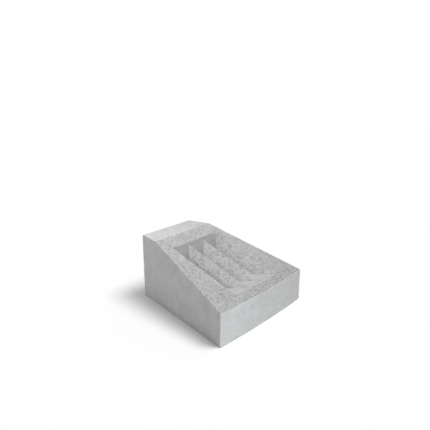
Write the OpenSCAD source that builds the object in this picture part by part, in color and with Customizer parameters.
// Wedge-shaped precast concrete block with three V-shaped grooves sunk in its slope.
// Plan: a trapezoid with a bowed front. Side view: low at the front, a slope, then a flat strip at the back.
// The frame has its origin at the middle of the base, +Z up, the low wide front towards -Y and X across.

/* [Block] */
// Width of the front, between its two corners
front_w = 1000; // [900:10:1200]
// Width of the back, between its two corners
back_w = 540; // [500:10:640]
// Depth from the foremost point of the bowed front to the back corners
block_d = 1023; // [900:1:1250]
// Height of the flat strip above the base
block_h = 523; // [480:1:640]
// Height of the front face at its corners
front_h = 255; // [210:1:310]
// Depth of the flat strip along the back of the top
strip_d = 195; // [150:5:240]
// Radius of the bowed front; the back face shares its centre
front_radius = 8500; // [5000:100:12000]

/* [Grooves] */
// Number of grooves side by side
groove_count = 3; // [2:1:4]
// Width of the whole grooved recess
recess_w = 500; // [400:10:520]
// Depth of each groove, square to the slope
groove_depth = 80; // [64:1:96]
// How far the ridges between the grooves stop below the slope
crest_drop = 12; // [0:1:20]
// Distance from the front corners back to the front rim of the recess
recess_front = 62; // [50:1:90]
// Distance from the recess's back rim to the flat strip
recess_back = 126; // [90:1:160]
// Lean of the recess's back wall from vertical, in degrees
back_lean = 39; // [30:1:45]
// Fall of the soles at the front of the grooves, in degrees
sole_fall = 8.4; // [6:0.1:12]

/* [Reinforcement] */
// Concrete between a bar and the nearest outer face
cover = 35; // [30:1:45]
// Diameter of the mat's bars
bar_d = 10; // [8:1:14]
// Number of bars from front to back
bars_along = 5; // [3:1:7]
// Number of bars across
bars_over = 5; // [3:1:8]
// Distance from the ends of the long bars to the first and last bar across
bar_end = 45; // [30:1:60]
// Side of a square cover spacer
spacer_w = 40; // [30:1:50]

/* [Lifting sockets] */
// Distance of each socket from the middle plane
socket_x = 140; // [125:1:150]
// Height of the sockets above the base
socket_z = 400; // [380:1:410]
// Outer diameter of a socket
socket_d = 30; // [28:0.5:36]
// Bore of a socket, for a thread of 24 mm
socket_bore = 22; // [20:0.5:24]
// Length of a socket
socket_l = 78; // [70:1:90]
// Depth of the socket's threaded bore
bore_l = 52; // [40:1:54]
// Diameter of the mouth recess around a socket
mouth_d = 50; // [44:1:60]
// Depth of the mouth recess
mouth_depth = 10; // [6:1:14]
// Diameter of the cross pin through a socket's tail
pin_d = 12; // [10:1:14]
// Length of the cross pin
pin_l = 150; // [120:5:160]

/* [Hidden] */

// Colours
CONCRETE = [0.74, 0.74, 0.73];
RUSTY = [0.47, 0.33, 0.26];
ZINC = [0.70, 0.72, 0.74];
MORTAR = [0.66, 0.65, 0.62];

// Gaps: around each cast-in piece, and between the two layers of bars
cast_gap = 0.3;
lap_gap = 1;
// How far a cutting solid runs past the face it cuts
past = 60;
// How far the trapezoid runs past the back corners, where the back arc cuts it
corner_slack = 0.2;
$fn = 48;
arc_fn = 256;

// Plan of the block
front_y = -block_d / 2;
back_y = block_d / 2;
arc_y = front_y + front_radius;
corner_y = arc_y - sqrt(pow(front_radius, 2) - pow(front_w / 2, 2));
back_radius = sqrt(pow(arc_y - back_y, 2) + pow(back_w / 2, 2));
side_run = (front_w - back_w) / 2 / (back_y - corner_y);
function half_w(y) = front_w / 2 - side_run * (y - corner_y);
function back_face_y(x) = arc_y - sqrt(pow(back_radius, 2) - pow(x, 2));

// Side view of the block
fold_y = back_y - strip_d;
rise = (block_h - front_h) / (fold_y - corner_y);
slope_angle = atan(rise);
function slope_z(y) = front_h + rise * (y - corner_y);

// Recess: the rims lie on the slope, and its two end planes meet below the grooves
rim_front_y = corner_y + recess_front;
rim_back_y = fold_y - recess_back;
sole_rate = tan(sole_fall);
wall_rate = 1 / tan(back_lean);
rim_front_z = slope_z(rim_front_y);
rim_back_z = slope_z(rim_back_y);
meet_y = (rim_front_z - rim_back_z + sole_rate * rim_front_y + wall_rate * rim_back_y)
       / (sole_rate + wall_rate);
function sole_z(y) = rim_front_z - sole_rate * (y - rim_front_y);
pitch = recess_w / groove_count;

// Mat of bars: the long bars below, the bars across lying on them
long_z = cover + bar_d / 2;
across_z = long_z + bar_d + lap_gap;
mat_front_y = corner_y + cover;
mat_back_y = back_face_y(0) - cover;
edge_x = half_w(mat_back_y) - cover - bar_d;
long_x = [for (i = [0:bars_along - 1]) edge_x * (2 * i / (bars_along - 1) - 1)];
across_y = [for (i = [0:bars_over - 1])
    mat_front_y + bar_end + i * (mat_back_y - mat_front_y - 2 * bar_end) / (bars_over - 1)];

// Spacers: under the long bars next to the outer ones, where the first, middle and last bar crosses
spacer_x = [long_x[1], long_x[bars_along - 2]];
spacer_y = [across_y[0], across_y[floor(bars_over / 2)], across_y[bars_over - 1]];

// Sockets and their cross pins
socket_mouth_y = back_face_y(socket_x) - mouth_depth;
pin_y = socket_mouth_y - socket_l + pin_d;

// Outline of the recess across the slope: up above the surface, and a V for each groove
function v_outline() = concat(
    [[recess_w / 2, past], [-recess_w / 2, past], [-recess_w / 2, 0]],
    [for (i = [0:groove_count - 1], side = [0, 1])
        side == 0 ? [-recess_w / 2 + (i + 0.5) * pitch, -groove_depth]
        : [-recess_w / 2 + (i + 1) * pitch, i == groove_count - 1 ? 0 : -crest_drop]]);

// Turns an outline drawn as (y, z) into a prism along X
module along_x(width) {
    translate([-width / 2, 0, 0]) rotate([90, 0, 90]) linear_extrude(width) children();
}

// Cylinder along +Y from its start at y
module along_y(y, length, radius) {
    translate([0, y, 0]) rotate([-90, 0, 0]) cylinder(h = length, r = radius);
}

module long_bars(grow) {
    for (x = long_x)
        translate([x, 0, long_z])
            along_y(mat_front_y - grow, mat_back_y - mat_front_y + 2 * grow, bar_d / 2 + grow);
}

// Each bar across is as long as the cover to the two flanks lets it be
module across_bars(grow) {
    for (y = across_y) {
        reach = half_w(y + bar_d / 2) - cover + grow;
        translate([-reach, y, across_z]) rotate([0, 90, 0]) cylinder(h = 2 * reach, r = bar_d / 2 + grow);
    }
}

// Puts a block of that side and height under each place where the mat is held up
module at_spacers(side, bottom, top) {
    for (x = spacer_x, y = spacer_y)
        translate([x - side / 2, y - side / 2, bottom]) cube([side, side, top - bottom]);
}

module at_sockets() {
    for (side = [-1, 1]) translate([side * socket_x, 0, socket_z]) children();
}

module cross_pin(grow) {
    translate([-pin_l / 2 - grow, pin_y, 0]) rotate([0, 90, 0])
        cylinder(h = pin_l + 2 * grow, r = pin_d / 2 + grow);
}

// Trapezoid seen from above, cut by the two arcs
module block_plan() {
    difference() {
        intersection() {
            polygon([
                [-half_w(front_y - past), front_y - past],
                [half_w(front_y - past), front_y - past],
                [half_w(back_y + corner_slack), back_y + corner_slack],
                [-half_w(back_y + corner_slack), back_y + corner_slack],
            ]);
            translate([0, arc_y]) circle(r = front_radius, $fn = arc_fn);
        }
        translate([0, arc_y]) circle(r = back_radius, $fn = arc_fn);
    }
}

module block_side_view() {
    polygon([
        [front_y - past, 0],
        [back_y + past, 0],
        [back_y + past, block_h],
        [fold_y, block_h],
        [front_y - past, slope_z(front_y - past)],
    ]);
}

// The grooves: the row of Vs run along the slope, between the back wall and the soles
module grooves() {
    intersection() {
        along_x(recess_w + past)
            polygon([
                [rim_front_y, rim_front_z],
                [meet_y, sole_z(meet_y)],
                [rim_back_y, rim_back_z],
                [rim_back_y, rim_back_z + past],
                [rim_front_y, rim_front_z + past],
            ]);
        translate([0, corner_y, front_h]) rotate([90 + slope_angle, 0, 0])
            translate([0, 0, -2 * block_d]) linear_extrude(3 * block_d) polygon(v_outline());
    }
}

module concrete_body() {
    color(CONCRETE)
        difference() {
            intersection() {
                linear_extrude(block_h + past) block_plan();
                along_x(front_w + 2 * past) block_side_view();
            }
            grooves();
            long_bars(cast_gap);
            across_bars(cast_gap);
            at_spacers(spacer_w + 2 * cast_gap, -past, cover);
            at_sockets() {
                along_y(socket_mouth_y - socket_l - cast_gap, socket_l + past, socket_d / 2 + cast_gap);
                along_y(socket_mouth_y, past, mouth_d / 2);
                cross_pin(cast_gap);
            }
        }
}

module mat_bars_front_to_back() {
    color(RUSTY) long_bars(0);
}

module mat_bars_across() {
    color(RUSTY) across_bars(0);
}

// Round socket with a threaded bore from its mouth and a cross hole in its tail
module lifting_sockets() {
    color(ZINC)
        at_sockets()
            difference() {
                along_y(socket_mouth_y - socket_l, socket_l, socket_d / 2);
                along_y(socket_mouth_y - bore_l, bore_l + past, socket_bore / 2);
                cross_pin(cast_gap);
            }
}

module socket_cross_pins() {
    color(RUSTY) at_sockets() cross_pin(0);
}

// Plain mortar blocks just under the long bars
module cover_spacers() {
    color(MORTAR) at_spacers(spacer_w, 0, cover - cast_gap);
}

concrete_body();
mat_bars_front_to_back();
mat_bars_across();
lifting_sockets();
socket_cross_pins();
cover_spacers();
